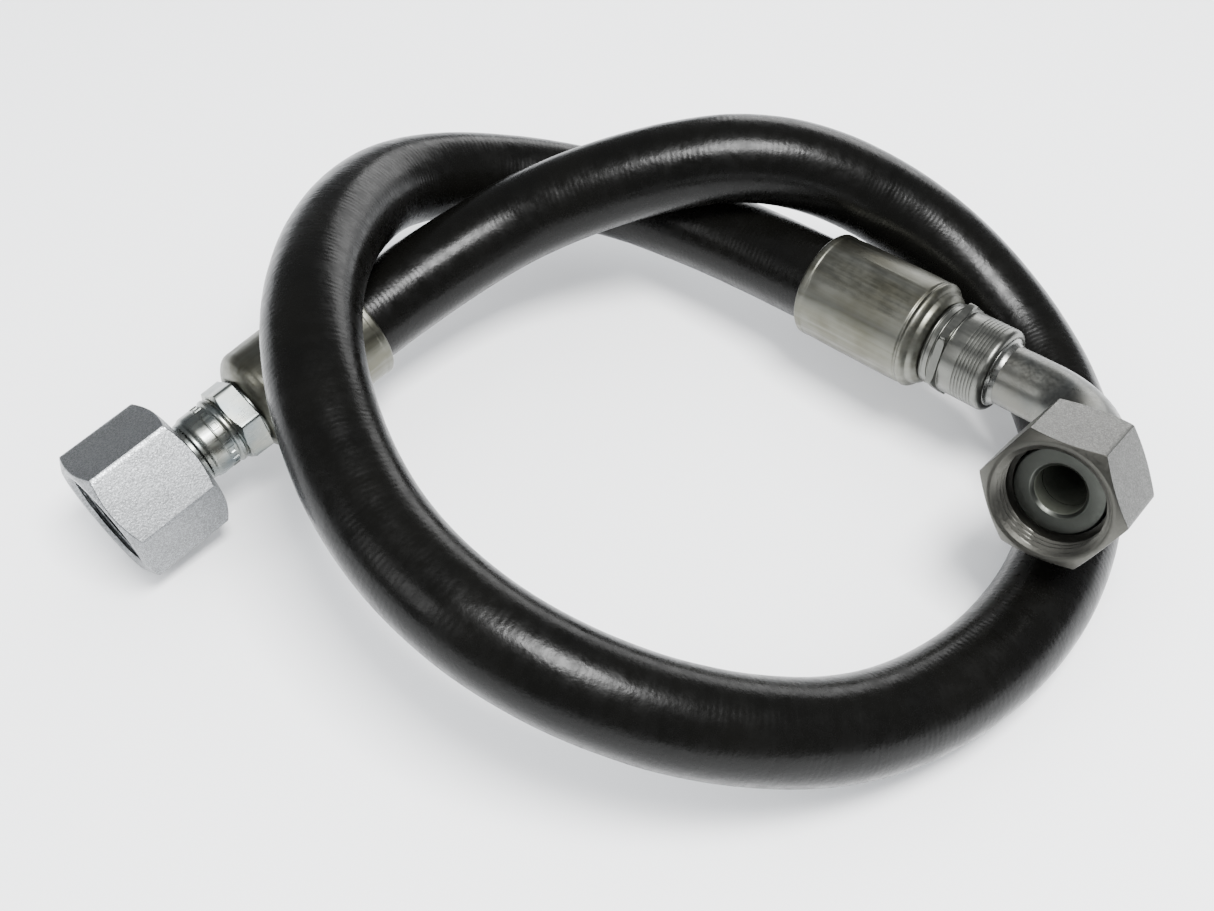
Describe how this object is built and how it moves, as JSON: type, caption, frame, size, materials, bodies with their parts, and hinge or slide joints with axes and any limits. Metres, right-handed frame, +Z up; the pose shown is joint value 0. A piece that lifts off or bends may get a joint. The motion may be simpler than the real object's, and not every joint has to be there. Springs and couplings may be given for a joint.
{
  "type": "hydraulic hose assembly",
  "caption": "Hydraulic hose in a loose overhand loop with crimped steel fittings: a straight flat-face swivel nut on one end and an elbow with a swivel nut on the other.",
  "frame": {"origin": "centre of the footprint on the surface the hose lies on", "axes": "+Z up; +X along the loop's longer way across, with the straight fitting at the -X end; +Y away from the elbow's open nut"},
  "size_m": [0.3356, 0.2577, 0.0899],
  "materials": {
    "cover_rubber": "satin, cloth-wrapped",
    "tube_rubber": "matte",
    "braid_wire": "braided",
    "zinc_plate": "satin zinc plate",
    "nut_zinc": "fine matte zinc plate",
    "spring_wire": "drawn",
    "braze_filler": "dull, zinc plated over"
  },
  "bodies": {
    "hose": {"hose_cover": "cover_rubber", "hose_inner_tube": "tube_rubber", "hose_inner_wire_braid": "braid_wire", "hose_rubber_between_braids": "tube_rubber", "hose_outer_wire_braid": "braid_wire", "left_ferrule": "zinc_plate", "left_insert": "zinc_plate", "right_ferrule": "zinc_plate", "right_insert": "zinc_plate", "right_collar_braze": "braze_filler", "right_elbow_tube": "zinc_plate", "right_nipple_head": "zinc_plate", "right_head_braze": "braze_filler"},
    "left_wire": {"left_nut_wire": "spring_wire"},
    "left_swivel": {"left_nut": "nut_zinc"},
    "right_wire": {"right_nut_wire": "spring_wire"},
    "right_swivel": {"right_nut": "nut_zinc"}
  },
  "joints": [
    {"name": "left_nut_float", "type": "slide", "parent": "hose", "child": "left_wire", "axis": [-0.6932, -0.7119, -0.1124], "range_m": [-0.0004, 0.0004]},
    {"name": "left_nut_spin", "type": "hinge", "parent": "left_wire", "child": "left_swivel", "pos_m": [-0.13206, -0.01227, 0.02669], "axis": [-0.6932, -0.7119, -0.1124], "continuous": true},
    {"name": "right_nut_float", "type": "slide", "parent": "hose", "child": "right_wire", "axis": [-0.5908, -0.7528, 0.2903], "range_m": [-0.0004, 0.0004]},
    {"name": "right_nut_spin", "type": "hinge", "parent": "right_wire", "child": "right_swivel", "pos_m": [0.13924, -0.03664, 0.05282], "axis": [-0.5908, -0.7528, 0.2903], "continuous": true}
  ]
}
